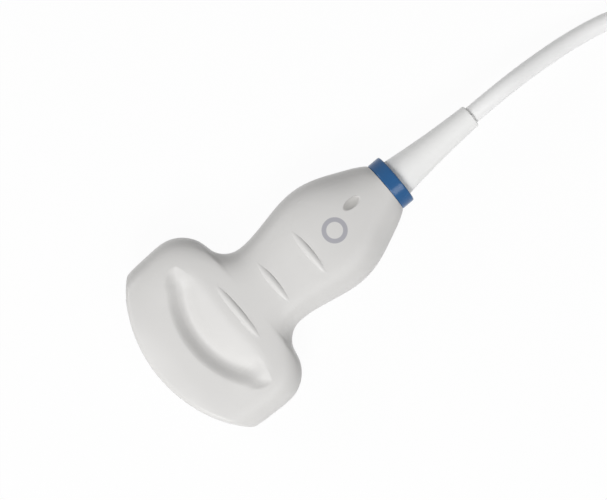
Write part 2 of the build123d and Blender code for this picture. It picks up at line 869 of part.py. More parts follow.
# Tail from the coil to the connector
tail_start = coil_leave + tail_turn * coil_stub
tail_route = [tail_start, tail_start + tail_turn * 12.0]
tail_route.append(tail_route[-1] + Vector(12.4, 3.4, -0.6))
tail_route.append(tail_route[-1] + Vector(12.0, 0, 0))


def corner_radii(points):
    """Radius at each corner of a route: 0.45 of the shorter run over the tangent of half the turn."""
    radii = []
    for before, corner, after in zip(points, points[1:], points[2:]):
        run_in = corner - before
        run_out = after - corner
        half_turn = radians(run_in.get_angle(run_out)) / 2
        radii.append(0.45 * min(run_in.length, run_out.length) / tan(half_turn))
    return radii


lead_radii = corner_radii(lead_route)
tail_radii = corner_radii(tail_route)
print("lead bend radii", [round(radius, 1) for radius in lead_radii])
print("tail bend radii", [round(radius, 1) for radius in tail_radii])

with BuildPart() as cable_lead:
    with BuildLine() as lead_path:
        FilletPolyline(*lead_route, radius=lead_radii)
    with BuildSketch(Plane(origin=lead_route[0], z_dir=lead_route[1] - lead_route[0])):
        Circle(cable_radius)
    sweep(path=lead_path.line)

with BuildPart() as cable_tail:
    with BuildLine() as tail_path:
        FilletPolyline(*tail_route, radius=tail_radii)
    with BuildSketch(Plane(origin=tail_route[0], z_dir=tail_route[1] - tail_route[0])):
        Circle(cable_radius)
    sweep(path=tail_path.line)

for cable_name, cable_run, cable_line in (("lead", cable_lead, lead_path), ("tail", cable_tail, tail_path)):
    straight_volume = pi * cable_radius**2 * cable_line.wires()[0].length
    volume_share = cable_run.part.volume / straight_volume
    print(cable_name, "volume against section times length", round(volume_share, 5))

coil_axis = Axis(coil_centre, (0, 0, 1))


def coil_plane(angle):
    """Upright plane through the coil's axis, with its own X outwards at an angle from +X."""
    turn = radians(angle)
    return Plane(origin=coil_centre, x_dir=(cos(turn), sin(turn), 0), z_dir=(sin(turn), -cos(turn), 0))


def bundle_profile(grown, mode=Mode.ADD):
    """Cross section of the bundle of turns, or of one grown all round."""
    with Locations(((coil_inner_radius + coil_outer_radius) / 2, (coil_base + coil_top) / 2)):
        wide = coil_outer_radius - coil_inner_radius + 2 * grown
        RectangleRounded(wide, coil_top - coil_base + 2 * grown, coil_round + grown, mode=mode)


with BuildPart() as cable_coil:
    with BuildSketch(coil_plane(0)):
        bundle_profile(0)
    revolve(axis=coil_axis)
    with BuildSketch(Plane(origin=lead_route[-1], z_dir=lead_turn)):
        Circle(cable_radius - coil_stub_inset)
    extrude(amount=coil_stub)
    with BuildSketch(Plane(origin=tail_start, z_dir=tail_turn * -1)):
        Circle(cable_radius - coil_stub_inset)
    extrude(amount=coil_stub)

with BuildPart() as coil_strap:
    with BuildSketch(coil_plane(strap_angle)):
        bundle_profile(strap_play + strap_thickness)
        bundle_profile(strap_play, Mode.SUBTRACT)
    revolve(axis=coil_axis, revolution_arc=strap_arc)

# Connector: the cable enters on the parting plane of its two shells
boot_tip = tail_route[-1]
parting = boot_tip.Z
case_from = boot_tip.X + boot_length
case_centre = Vector(case_from + connector_length / 2, boot_tip.Y, 0)
case_plane = Plane(origin=case_centre)
entry_line = Axis(boot_tip, (1, 0, 0))
cable_exit_plane = Plane(origin=(boot_tip.X, boot_tip.Y, boot_tip.Z), x_dir=(0, 1, 0), z_dir=(1, 0, 0))
boot_long_plane = Plane(origin=boot_tip, x_dir=(1, 0, 0), z_dir=(0, -1, 0))
boss_pitch = (connector_length - 2 * boss_inset, connector_width - 2 * boss_inset)
collar_from = boot_length + connector_wall + fit
collar_to = collar_from + boot_collar_thickness
boot_inner = boot_collar_radius - 2 * connector_wall
flange_low = connector_lift + connector_wall


def case_outline(inset):
    """Rounded outline of the connector in plan."""
    RectangleRounded(
        connector_length - 2 * inset, connector_width - 2 * inset, connector_corner - inset
    )


with BuildPart() as boot_seat:
    with BuildSketch(boot_long_plane):
        with BuildLine():
            Polyline(
                (boot_length - connector_wall, 0),
                (boot_length - connector_wall, boot_inner + fit),
                (collar_from - fit, boot_inner + fit),
                (collar_from - fit, boot_collar_radius + fit),
                (collar_to + fit, boot_collar_radius + fit),
                (collar_to + fit, 0),
                close=True,
            )
        make_face()
    revolve(axis=entry_line)

# Finger grooves in both long sides of the connector, across its parting plane
with BuildPart() as side_grooves:
    for side in (1, -1):
        side_at = case_centre + Vector(0, side * connector_width / 2, parting)
        with BuildSketch(Plane(origin=side_at, x_dir=(1, 0, 0), z_dir=(0, side, 0))):
            with GridLocations(groove_pitch, groove_pitch, groove_count, 1):
                SlotOverall(groove_length, groove_width, rotation=90)
    extrude(amount=groove_depth, both=True)

with BuildPart() as connector_base:
    with BuildSketch(case_plane.offset(connector_lift)):
        case_outline(0)
    extrude(amount=parting - connector_lift)
    fillet(connector_base.faces().sort_by(Axis.Z)[0].edges(), connector_wall)
    with BuildSketch(case_plane.offset(connector_lift + connector_wall)):
        case_outline(connector_wall)
    extrude(amount=parting, mode=Mode.SUBTRACT)
    with BuildSketch(case_plane):
        RectangleRounded(block_length + 2 * fit, block_width + 2 * fit, block_corner + fit)
    extrude(amount=parting, mode=Mode.SUBTRACT)
    with BuildSketch(case_plane.offset(connector_lift + connector_wall)):
        with GridLocations(*boss_pitch, 2, 2):
            Circle(boss_radius)
    extrude(amount=parting - connector_lift - connector_wall)
    with BuildSketch(case_plane.offset(parting)):
        with GridLocations(*boss_pitch, 2, 2):
            Circle(case_screw_radius + screw_play)
    extrude(amount=-case_screw_length, mode=Mode.SUBTRACT)
    add(boot_seat.part, mode=Mode.SUBTRACT)
    add(side_grooves.part, mode=Mode.SUBTRACT)

with BuildPart() as connector_cover:
    with BuildSketch(case_plane.offset(parting)):
        case_outline(0)
    extrude(amount=connector_height - parting)
    fillet(connector_cover.faces().sort_by(Axis.Z)[-1].edges(), connector_edge)
    with BuildSketch(case_plane.offset(parting)):
        case_outline(connector_wall)
    extrude(amount=connector_height - parting - connector_wall, mode=Mode.SUBTRACT)
    with BuildSketch(case_plane.offset(parting)):
        with GridLocations(*boss_pitch, 2, 2):
            Circle(boss_radius)
        Circle(2 * shaft_radius)
    extrude(amount=connector_height - parting - connector_wall)
    with Locations(case_plane.offset(connector_height)):
        with GridLocations(*boss_pitch, 2, 2):
            CounterBoreHole(case_screw_radius + screw_play, case_screw_head + fit, case_screw_head_height)
        Hole(shaft_radius + shaft_play)
    with BuildSketch(case_plane.offset(parting)):
        Circle(shaft_radius + clip_width + 2 * fit)
    extrude(amount=connector_height - parting - 2 * connector_wall, mode=Mode.SUBTRACT)
    add(boot_seat.part, mode=Mode.SUBTRACT)
    add(side_grooves.part, mode=Mode.SUBTRACT)

with BuildPart() as contact_block:
    with BuildSketch(case_plane):
        RectangleRounded(block_length, block_width, block_corner)
    extrude(amount=flange_low)
    with BuildSketch(case_plane.offset(flange_low)):
        flange_length = block_length + 2 * block_flange
        RectangleRounded(flange_length, block_width + 2 * block_flange, block_corner)
    extrude(amount=block_flange_thickness)
    with BuildSketch(case_plane.offset(flange_low + block_flange_thickness)):
        RectangleRounded(block_length - 2 * block_corner, block_width - 2 * block_corner, block_corner)
    extrude(amount=block_height - flange_low - block_flange_thickness)
    with BuildSketch(case_plane):
        Circle(cam_pocket_radius)
    extrude(amount=cam_pocket_depth, mode=Mode.SUBTRACT)
    with BuildSketch(case_plane):
        Circle(shaft_radius + shaft_play)
    extrude(amount=block_height, mode=Mode.SUBTRACT)
    with BuildSketch(case_plane):
        for field_at in (pad_field_at, -pad_field_at):
            with Locations((field_at, 0)):
                with GridLocations(pad_pitch, pad_pitch, pad_columns, pad_rows):
                    Rectangle(pad_size, pad_size)
    extrude(amount=pad_depth, mode=Mode.SUBTRACT)

# Contact pads in their pockets, a little below the face
with BuildPart() as contact_pads:
    with BuildSketch(case_plane.offset(pad_depth / 2)):
        for field_at in (pad_field_at, -pad_field_at):
            with Locations((field_at, 0)):
                with GridLocations(pad_pitch, pad_pitch, pad_columns, pad_rows):
                    Rectangle(pad_size - fit, pad_size - fit)
    extrude(amount=pad_depth / 2)

with BuildPart() as connector_board:
    with BuildSketch(case_plane.offset(block_height)):
        RectangleRounded(connector_board_length, connector_board_width, block_corner)
        Circle(shaft_radius + 2 * shaft_play, mode=Mode.SUBTRACT)
    extrude(amount=board_sheet)

# Cable boot, held in the parting plane by its collar
with BuildPart() as connector_boot:
    with BuildSketch(boot_long_plane):
        with BuildLine():
            Polyline(
                (0, ferrule_bore),
                (0, boot_tip_radius),
                (boot_length, boot_base_radius),
                (boot_length, boot_inner),
                (collar_from, boot_inner),
                (collar_from, boot_collar_radius),
                (collar_to, boot_collar_radius),
                (collar_to, ferrule_bore),
                close=True,
            )
        make_face()
    revolve(axis=entry_line)

with BuildPart() as cable_entry:
    with BuildSketch(cable_exit_plane):
        Circle(cable_radius)
    extrude(amount=entry_length)

with BuildPart() as entry_ferrule:
    with BuildSketch(cable_exit_plane.offset(collar_to)):
        Circle(ferrule_radius)
        Circle(ferrule_bore, mode=Mode.SUBTRACT)
    extrude(amount=entry_ferrule_length)

with BuildPart() as connector_screws:
    head_seat = connector_height - case_screw_head_height
    with BuildSketch(case_plane.offset(head_seat)):
        with GridLocations(*boss_pitch, 2, 2):
            Circle(case_screw_head)
    extrude(amount=case_screw_head_height - fit)
    screw_low = parting - case_screw_length + connector_wall
    with BuildSketch(case_plane.offset(screw_low)):
        with GridLocations(*boss_pitch, 2, 2):
            Circle(case_screw_radius)
    extrude(amount=head_seat - screw_low)
    with BuildSketch(case_plane.offset(connector_height - fit)):
        with GridLocations(*boss_pitch, 2, 2):
            RegularPolygon(screw_socket, 6)
    extrude(amount=-screw_socket_depth, mode=Mode.SUBTRACT)

# Rotary lock: shaft with a cam bar at its foot, clip, lever and screw
clip_top = connector_height - 2 * connector_wall - clip_drop
lever_low = connector_height + lever_gap
with BuildPart() as lock_shaft:
    with BuildSketch(case_plane.offset(cam_recess)):
        SlotOverall(cam_length, cam_width, rotation=90)
    extrude(amount=cam_height)
    with BuildSketch(case_plane.offset(cam_recess)):
        Circle(shaft_radius)
    extrude(amount=lever_low - cam_recess)
    with BuildSketch(case_plane.offset(clip_top - clip_thickness)):
        Circle(2 * shaft_radius)
        Circle(shaft_radius - clip_groove, mode=Mode.SUBTRACT)
    extrude(amount=clip_thickness, mode=Mode.SUBTRACT)
    with BuildSketch(case_plane.offset(lever_low)):
        Circle(lever_screw_radius + screw_play)
    extrude(amount=-lever_screw_length, mode=Mode.SUBTRACT)

with BuildPart() as shaft_clip:
    with BuildSketch(case_plane.offset(clip_top - clip_thickness)):
        Circle(shaft_radius + clip_width)
        Circle(shaft_radius - clip_groove + screw_play, mode=Mode.SUBTRACT)
        with Locations((0, -shaft_radius - clip_width / 2)):
            Rectangle(shaft_radius, 2 * clip_width, mode=Mode.SUBTRACT)
    extrude(amount=clip_thickness)

with BuildPart() as lock_lever:
    with BuildSketch(case_plane.offset(lever_low)):
        Circle(lever_hub_radius)
        with BuildLine():
            lever_lean = atan2(lever_hub_radius - lever_tip_radius, lever_reach)
            hub_x = lever_hub_radius * sin(lever_lean)
            hub_y = lever_hub_radius * cos(lever_lean)
            tip_x = lever_reach + lever_tip_radius * sin(lever_lean)
            tip_y = lever_tip_radius * cos(lever_lean)
            Line((hub_x, hub_y), (tip_x, tip_y))
            ThreePointArc((tip_x, tip_y), (lever_reach + lever_tip_radius, 0), (tip_x, -tip_y))
            Line((tip_x, -tip_y), (hub_x, -hub_y))
            Line((hub_x, -hub_y), (hub_x, hub_y))
        make_face()
    extrude(amount=lever_height)
    fillet(lock_lever.faces().sort_by(Axis.Z)[-1].edges(), lever_round)
    with Locations(case_plane.offset(lever_low + lever_height)):
        CounterBoreHole(lever_screw_radius + screw_play, lever_screw_head + fit, lever_screw_head_height)
    with BuildSketch(case_plane.offset(lever_low + lever_height)):
        with Locations((lever_mark_at, 0)):
            SlotOverall(lever_mark_length, lever_mark_width)
    extrude(amount=-lever_mark_depth, mode=Mode.SUBTRACT)

with BuildPart() as lever_screw:
    screw_seat = lever_low + lever_height - lever_screw_head_height
    with BuildSketch(case_plane.offset(screw_seat)):
        Circle(lever_screw_head)
    extrude(amount=lever_screw_head_height - fit)
    with BuildSketch(case_plane.offset(lever_low - lever_screw_length + fit)):
        Circle(lever_screw_radius)
    extrude(amount=screw_seat - lever_low + lever_screw_length - fit)
    with BuildSketch(case_plane.offset(lever_low + lever_height - fit)):
        RegularPolygon(screw_socket, 6)
    extrude(amount=-screw_socket_depth, mode=Mode.SUBTRACT)

pieces = {
    "front_shell": front_shell,
    "rear_shell": rear_shell,
    "acoustic_lens": acoustic_lens,
    "outer_matching_layer": outer_matching_layer,
    "inner_matching_layer": inner_matching_layer,
    "piezo_elements": piezo_elements,
    "backing_block": backing_block,
    "chassis": chassis,
    "front_flex": front_flex,
    "rear_flex": rear_flex,
    "front_board": front_board,
    "rear_board": rear_board,
    "front_socket": front_socket,
    "rear_socket": rear_socket,
    "front_shield": front_shield,
    "rear_shield": rear_shield,
    "board_standoffs": board_standoffs,
    "board_screws": board_screws,
    "front_wires": front_wires,
    "rear_wires": rear_wires,
    "braid_ferrule": braid_ferrule,
    "upper_clamp": upper_clamp,
    "lower_clamp": lower_clamp,
    "clamp_screws": clamp_screws,
    "tail_seal": tail_seal,
    "colour_ring": colour_ring,
    "strain_relief": strain_relief,
    "cable_root": cable_root,
    "cable_lead": cable_lead,
    "cable_coil": cable_coil,
    "cable_tail": cable_tail,
    "cable_entry": cable_entry,
    "coil_strap": coil_strap,
    "connector_base": connector_base,
    "connector_cover": connector_cover,
    "contact_block": contact_block,
    "contact_pads": contact_pads,
    "connector_board": connector_board,
    "connector_boot": connector_boot,
    "entry_ferrule": entry_ferrule,
    "connector_screws": connector_screws,
    "lock_shaft": lock_shaft,
    "shaft_clip": shaft_clip,
    "lock_lever": lock_lever,
    "lever_screw": lever_screw,
}
os.makedirs("parts", exist_ok=True)
for piece_name, piece in pieces.items():
    piece.part.label = piece_name
    export_step(piece.part, f"parts/{piece_name}.step")
print("coil centre", coil_centre, "connector centre", case_centre, "parting", round(parting, 3))
print("middle height", round(mid_height, 3), "strain relief tip", round(along(relief_to), 3))
print("shoulder lean", round(degrees(shoulder_lean), 2), "neck radius", round(neck_radius, 2))
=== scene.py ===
"""Convex ultrasound probe with its cable and connector, dressed and lit for its picture.

Lengths are in metres and angles in degrees, unless a class says otherwise.
"""

import logging
from dataclasses import dataclass
from enum import Enum
from math import atan2, cos, degrees, hypot, pi, radians, sin

import bmesh
import bpy
from mathutils import Matrix, Vector
from mathutils.bvhtree import BVHTree


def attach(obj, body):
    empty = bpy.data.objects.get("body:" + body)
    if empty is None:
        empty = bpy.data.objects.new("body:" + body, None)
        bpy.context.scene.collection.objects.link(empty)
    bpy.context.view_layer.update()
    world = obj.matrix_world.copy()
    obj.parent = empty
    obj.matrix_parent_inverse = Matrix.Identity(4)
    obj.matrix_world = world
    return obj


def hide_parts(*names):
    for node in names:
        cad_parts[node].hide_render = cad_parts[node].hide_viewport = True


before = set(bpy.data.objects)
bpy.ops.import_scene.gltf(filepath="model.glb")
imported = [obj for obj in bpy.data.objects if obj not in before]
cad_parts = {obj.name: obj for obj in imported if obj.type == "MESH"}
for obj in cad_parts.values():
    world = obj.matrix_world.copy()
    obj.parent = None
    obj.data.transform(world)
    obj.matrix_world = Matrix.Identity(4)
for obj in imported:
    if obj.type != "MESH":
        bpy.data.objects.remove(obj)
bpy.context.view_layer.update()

Pair = tuple[float, float]
Triple = tuple[float, float, float]
NodeSocket = bpy.types.NodeSocket
Piece = bpy.types.Object

MM = 0.001
# Heights of the planes where the two shells meet, and the two halves of the connector's case
SHELL_SEAM = 0.013535
CASE_SEAM = 0.01895
# The values between which most of a noise texture lies
NOISE_SPAN = (0.3, 0.7)
# Pitch of a wave texture at a scale of 1, in metres
WAVE_PITCH = pi / 10.0
log = logging.getLogger("probe")


class Body(Enum):
    """The two bodies that pieces ride on."""

    PROBE = "probe"
    LOCK = "lock"


class Axis(Enum):
    """The axes that a wave's bands can lie across."""

    X = "X"
    Y = "Y"
    Z = "Z"


class NodeBench:
    """Lays out the nodes of one material."""

    def __init__(self, name: str) -> None:
        """Start a material with a shader and its Object coordinates.

        Args:
            name: name of the material.
        """
        self.material = bpy.data.materials.new(name)
        self.material.use_nodes = True
        self.tree = self.material.node_tree
        self.tree.nodes.clear()
        output = self.tree.nodes.new("ShaderNodeOutputMaterial")
        self.shader = self.tree.nodes.new("ShaderNodeBsdfPrincipled")
        self.join(self.shader.outputs["BSDF"], output.inputs["Surface"])
        self.place = self.tree.nodes.new("ShaderNodeTexCoord").outputs["Object"]

    def join(self, source: NodeSocket, target: NodeSocket) -> None:
        """Link two sockets."""
        self.tree.links.new(source, target)

    def add(self, kind: str, inputs: dict[str | int, object], **settings: object) -> bpy.types.Node:
        """Add a node.

        Args:
            kind: the node's type, without its common first part.
            inputs: for each input's name or number, a value or the socket that feeds it.
            settings: the node's own properties.

        Returns:
            The new node.
        """
        node = self.tree.nodes.new("ShaderNode" + kind)
        for key, value in settings.items():
            setattr(node, key, value)
        for key, value in inputs.items():
            if isinstance(value, NodeSocket):
                self.join(value, node.inputs[key])
            else:
                node.inputs[key].default_value = value
        return node

    def noise(self, size: float, detail: float = 2.0, place: NodeSocket | None = None) -> NodeSocket:
        """Give a noise with patches of a size, on the object's own coordinates or on others."""
        inputs = {"Vector": place or self.place, "Scale": 1.0 / size, "Detail": detail}
        return self.add("TexNoise", inputs).outputs["Fac"]

    def stretched(self, along: Triple) -> NodeSocket:
        """Give coordinates scaled along each axis."""
        return self.add("Mapping", {"Vector": self.place, "Scale": along}).outputs["Vector"]

    def ramp(self, value: NodeSocket, low: float, high: float, to_low: float, to_high: float) -> NodeSocket:
        """Map the span from low to high to the span from to_low to to_high, clamped."""
        inputs = {"Value": value, "From Min": low, "From Max": high, "To Min": to_low, "To Max": to_high}
        return self.add("MapRange", inputs).outputs["Result"]

    def maths(self, operation: str, first: object, second: object) -> NodeSocket:
        """Combine two values with a maths operation."""
        return self.add("Math", {0: first, 1: second}, operation=operation).outputs["Value"]

    def mix(self, amount: object, first: object, second: object) -> NodeSocket:
        """Mix two colours.

        Args:
            amount: share of the second colour.
            first: first colour or socket.
            second: second colour or socket.

        Returns:
            The mixed colour.
        """
        node = self.add("Mix", {}, data_type="RGBA")
        sockets = {socket.identifier: socket for socket in node.inputs}
        for key, value in (("Factor_Float", amount), ("A_Color", first), ("B_Color", second)):
            if isinstance(value, NodeSocket):
                self.join(value, sockets[key])
            else:
                sockets[key].default_value = value
        return next(socket for socket in node.outputs if socket.identifier == "Result_Color")


def rgba(colour: Triple, gain: float = 1.0) -> tuple[float, float, float, float]:
    """Give a colour, brightened or darkened, with full alpha."""
    return (colour[0] * gain, colour[1] * gain, colour[2] * gain, 1.0)


@dataclass(frozen=True)
class Finish:
    """A surface: its colour with slow mottling, its gloss and its fine grain."""

    name: str
    slot: str
    colour: Triple
    roughness: float = 0.45
    roughness_swing: float = 0.08
    mottle: float = 0.05
    mottle_size: float = 0.012
    grain: float = 0.1
    grain_size: float = 0.0004
    grain_depth: float = 0.00003
    metallic: float = 0.0
    coat: float = 0.0
    coat_roughness: float = 0.12
    specular: float = 0.5
    sheen: float = 0.0
    mottle_detail: float = 3.0
    gloss_share: float = 0.6
    gloss_detail: float = 4.0

    def paint(self, bench: NodeBench) -> NodeSocket:
        """Give the colour over the surface.

        Args:
            bench: the material's nodes.

        Returns:
            The colour.
        """
        patches = bench.noise(self.mottle_size, self.mottle_detail)
        spread = bench.ramp(patches, *NOISE_SPAN, 0.0, 1.0)
        dark, light = rgba(self.colour, 1.0 - self.mottle), rgba(self.colour, 1.0 + self.mottle / 2)
        return bench.mix(spread, dark, light)

    def height(self, bench: NodeBench) -> NodeSocket:
        """Give the height of the fine grain."""
        return bench.noise(self.grain_size)

    def material(self) -> bpy.types.Material:
        """Build the material, or give it if it is there already.

        Returns:
            The material with its nodes.
        """
        known = bpy.data.materials.get(self.name)
        if known:
            return known
        bench = NodeBench(self.name)
        shader = bench.shader
        shader.inputs["Metallic"].default_value = self.metallic
        shader.inputs["Coat Weight"].default_value = self.coat
        shader.inputs["Coat Roughness"].default_value = self.coat_roughness
        shader.inputs["Specular IOR Level"].default_value = self.specular
        shader.inputs["Sheen Weight"].default_value = self.sheen
        bench.join(self.paint(bench), shader.inputs["Base Color"])
        gloss = bench.ramp(
            bench.noise(self.mottle_size * self.gloss_share, self.gloss_detail),
            *NOISE_SPAN,
            self.roughness - self.roughness_swing,
            self.roughness + self.roughness_swing,
        )
        bench.join(gloss, shader.inputs["Roughness"])
        bump = bench.add(
            "Bump",
            {"Strength": self.grain, "Distance": self.grain_depth, "Height": self.height(bench)},
        )
        bench.join(bump.outputs["Normal"], shader.inputs["Normal"])
        return bench.material


@dataclass(frozen=True)
class SeamedFinish(Finish):
    """Moulded plastic of two shells, with the fine dark line where they meet."""

    seam_height: float = SHELL_SEAM
    seam_half: float = 0.00012
    seam_edge: float = 0.00008
    seam_shade: float = 0.35

    def paint(self, bench: NodeBench) -> NodeSocket:
        """Give the mottled plastic with its seam.

        Args:
            bench: the material's nodes.

        Returns:
            The colour.
        """
        plastic = Finish.paint(self, bench)
        split = bench.add("SeparateXYZ", {"Vector": bench.place})
        off = bench.maths("ABSOLUTE", bench.maths("SUBTRACT", split.outputs["Z"], self.seam_height), 0.0)
        line = bench.ramp(off, self.seam_half, self.seam_half + self.seam_edge, 1.0, 0.0)
        return bench.mix(line, plastic, rgba(self.colour, self.seam_shade))


@dataclass(frozen=True)
class HousingFinish(SeamedFinish):
    """The moulded housing, with a plain printed ring, and painted shade in the dimple on its grip."""

    ring_at: Pair = (0.01005, 0.0)
    ring_radius: float = 0.0043
    ring_line: float = 0.0008
    ring_edge: float = 0.00025
    ring_colour: Triple = (0.27, 0.27, 0.32)
    ring_strength: float = 0.7
    # Painted shade in the dimple: its centre, its half sizes, where its edge fades, and its darker colour
    dimple_shade_at: Pair = (0.02215, 0.0041)
    dimple_shade_size: Pair = (0.0043, 0.0021)
    dimple_shade_edge: float = 0.8
    dimple_shade_colour: Triple = (0.48, 0.47, 0.455)
    front_height: float = 0.0145

    def spread(self, bench: NodeBench, at: Pair, size: Pair) -> NodeSocket:
        """Give the distance from a place on the face, in plan.

        Args:
            bench: the material's nodes.
            at: the place, in metres.
            size: half sizes along and across, which count as one.

        Returns:
            The distance.
        """
        split = bench.add("SeparateXYZ", {"Vector": bench.place})
        squares = []
        for axis, centre, half in zip(("X", "Y"), at, size):
            off = bench.maths("DIVIDE", bench.maths("SUBTRACT", split.outputs[axis], centre), half)
            squares.append(bench.maths("MULTIPLY", off, off))
        return bench.maths("POWER", bench.maths("ADD", *squares), 0.5)

    def paint(self, bench: NodeBench) -> NodeSocket:
        """Give the plastic with the printed ring and the painted shade in the dimple on its front face.

        Args:
            bench: the material's nodes.

        Returns:
            The colour.
        """
        plastic = SeamedFinish.paint(self, bench)
        height = bench.add("SeparateXYZ", {"Vector": bench.place}).outputs["Z"]
        front = bench.maths("GREATER_THAN", height, self.front_height)
        radius = self.spread(bench, self.ring_at, (1.0, 1.0))
        off_line = bench.maths("ABSOLUTE", bench.maths("SUBTRACT", radius, self.ring_radius), 0.0)
        outer_edge = self.ring_line + self.ring_edge
        line = bench.ramp(off_line, self.ring_line, outer_edge, self.ring_strength, 0.0)
        printed = bench.mix(bench.maths("MULTIPLY", line, front), plastic, rgba(self.ring_colour))
        # Painted shade: the inside of the dimple is painted darker where its shadow falls
        fill = bench.ramp(self.spread(bench, self.dimple_shade_at, self.dimple_shade_size), self.dimple_shade_edge, 1.0, 1.0, 0.0)
        return bench.mix(bench.maths("MULTIPLY", fill, front), printed, rgba(self.dimple_shade_colour))


@dataclass(frozen=True)
class BrushedFinish(Finish):
    """Metal with fine lines along one direction."""

    lines: Triple = (1.0, 14.0, 14.0)
    line_size: float = 0.0032
    line_detail: float = 3.0

    def height(self, bench: NodeBench) -> NodeSocket:
        """Give the height of the brush lines."""
        return bench.noise(self.line_size, self.line_detail, bench.stretched(self.lines))


@dataclass(frozen=True)
class StripedFinish(Finish):
    """Fine parallel lines of a second colour, such as conductors or wires."""

    second: Triple = (0.6, 0.35, 0.1)
    pitch: float = 0.0009
    across: Axis = Axis.Y
    share: float = 0.5
    edge: float = 0.15

    def stripes(self, bench: NodeBench) -> NodeSocket:
        """Give a wave across the lines."""
        inputs = {"Vector": bench.place, "Scale": WAVE_PITCH / self.pitch}
        return bench.add("TexWave", inputs, bands_direction=self.across.value).outputs["Fac"]

    def paint(self, bench: NodeBench) -> NodeSocket:
        """Give the ground colour with the lines on it.

        Args:
            bench: the material's nodes.

        Returns:
            The colour.
        """
        ground = Finish.paint(self, bench)
        lines = bench.ramp(self.stripes(bench), self.share, self.share + self.edge, 0.0, 1.0)
        return bench.mix(lines, ground, rgba(self.second))

    def height(self, bench: NodeBench) -> NodeSocket:
        """Give the height of the lines."""
        return self.stripes(bench)


@dataclass(frozen=True)
class WovenFinish(Finish):
    """Webbing with a plain weave, with painted shade in its dips and painted light on its crowns."""

    thread: float = 0.0007
    # Gains on the colour for the painted shade in the weave's dips and the painted light on its crowns
    dip_shade_gain: float = 0.45
    crown_light_gain: float = 1.25

    def weave(self, bench: NodeBench) -> NodeSocket:
        """Give the height of the crossing threads.

        Args:
            bench: the material's nodes.

        Returns:
            The height.
        """
        scale = WAVE_PITCH / self.thread
        along = bench.add("TexWave", {"Vector": bench.place, "Scale": scale}, bands_direction=Axis.Z.value)
        aside = bench.add("TexWave", {"Vector": bench.place, "Scale": scale}, bands_direction=Axis.X.value)
        return bench.maths("MAXIMUM", along.outputs["Fac"], aside.outputs["Fac"])

    def paint(self, bench: NodeBench) -> NodeSocket:
        """Give threads with painted shade where they dip and painted light on their crowns."""
        dip, crown = rgba(self.colour, self.dip_shade_gain), rgba(self.colour, self.crown_light_gain)
        return bench.mix(self.weave(bench), dip, crown)

    def height(self, bench: NodeBench) -> NodeSocket:
        """Give the height of the weave."""
        return self.weave(bench)


HOUSING = HousingFinish(
    "housing_plastic", "shell", (0.66, 0.652, 0.64),
    roughness=0.38, roughness_swing=0.04, mottle=0.025, mottle_size=0.03, grain=0.08, specular=0.35,
)
LENS = Finish(
    "lens_silicone", "lens", (0.57, 0.575, 0.585),
    roughness=0.38, roughness_swing=0.06, mottle=0.04, mottle_size=0.01, grain=0.06,
)
MATCHING = Finish(
    "filled_epoxy", "matching", (0.20, 0.21, 0.22),
    roughness=0.55, mottle=0.1, mottle_size=0.004, grain=0.2,
)
CERAMIC = Finish(
    "lapped_ceramic", "ceramic", (0.62, 0.55, 0.38),
    roughness=0.5, mottle=0.1, mottle_size=0.003, grain=0.2,
)
BACKING = Finish(
    "cast_backing", "backing", (0.06, 0.06, 0.068),
    roughness=0.7, mottle=0.15, mottle_size=0.004, grain=0.3,
)
CHASSIS = BrushedFinish(
    "machined_chassis", "chassis", (0.70, 0.71, 0.72),
    roughness=0.32, roughness_swing=0.06, mottle=0.04, metallic=1.0,
)
FLEX = StripedFinish(
    "flex_film", "flex", (0.62, 0.34, 0.08),
    roughness=0.35, coat=0.4, second=(0.72, 0.42, 0.2),
)
BOARD = StripedFinish(
    "lacquered_board", "board", (0.04, 0.2, 0.09),
    roughness=0.35, coat=0.5, second=(0.06, 0.28, 0.12), pitch=0.0016,
)
SOCKET = Finish("socket_plastic", "socket", (0.06, 0.06, 0.065), mottle=0.1, mottle_size=0.004)
SHIELD = BrushedFinish(
    "tinned_sheet", "shield", (0.72, 0.73, 0.74),
    roughness=0.28, roughness_swing=0.07, metallic=1.0,
)
STEEL = BrushedFinish(
    "turned_steel", "steel", (0.60, 0.61, 0.62),
    roughness=0.27, roughness_swing=0.06, metallic=1.0,
)
WIRES = StripedFinish(
    "coaxial_wires", "wires", (0.35, 0.22, 0.12),
    roughness=0.4, second=(0.55, 0.4, 0.25), pitch=0.0007,
)
CLAMP = BrushedFinish(
    "blasted_clamp", "clamp", (0.64, 0.65, 0.66),
    roughness=0.48, roughness_swing=0.06, grain=0.25, metallic=1.0,
)
SEAL = Finish(
    "seal_rubber", "seal", (0.05, 0.05, 0.05),
    roughness=0.6, mottle=0.15, mottle_size=0.004,
)
RING = Finish(
    "ring_gloss", "ring", (0.010, 0.093, 0.255),
    roughness=0.24, roughness_swing=0.04, mottle=0.06, mottle_size=0.01, grain=0.04, coat=0.1, specular=0.3,
)
RELIEF = Finish(
    "relief_elastomer", "relief", (0.90, 0.90, 0.89),
    roughness=0.5, roughness_swing=0.06, mottle=0.02, mottle_size=0.02,
)
JACKET = Finish(
    "cable_jacket", "cable", (0.94, 0.94, 0.935),
    roughness=0.42, roughness_swing=0.06, mottle=0.02, mottle_size=0.02, grain=0.08,
)
STRAP = WovenFinish(
    "strap_webbing", "strap", (0.10, 0.10, 0.11),
    roughness=0.8, grain=0.6, grain_depth=0.0002, sheen=0.3,
)
CASE = SeamedFinish(
    "connector_case", "case", (0.60, 0.60, 0.592),
    roughness=0.5, roughness_swing=0.06, mottle=0.03, mottle_size=0.03,
    grain=0.35, grain_size=0.0007, grain_depth=0.00006, seam_height=CASE_SEAM,
)
BLOCK = Finish(
    "contact_block", "contact_block", (0.06, 0.06, 0.068),
    roughness=0.5, mottle=0.1, mottle_size=0.006, grain=0.2,
)
CONTACTS = BrushedFinish(
    "plated_contacts", "contacts", (0.78, 0.58, 0.26),
    roughness=0.22, roughness_swing=0.05, mottle=0.04, metallic=1.0,
)
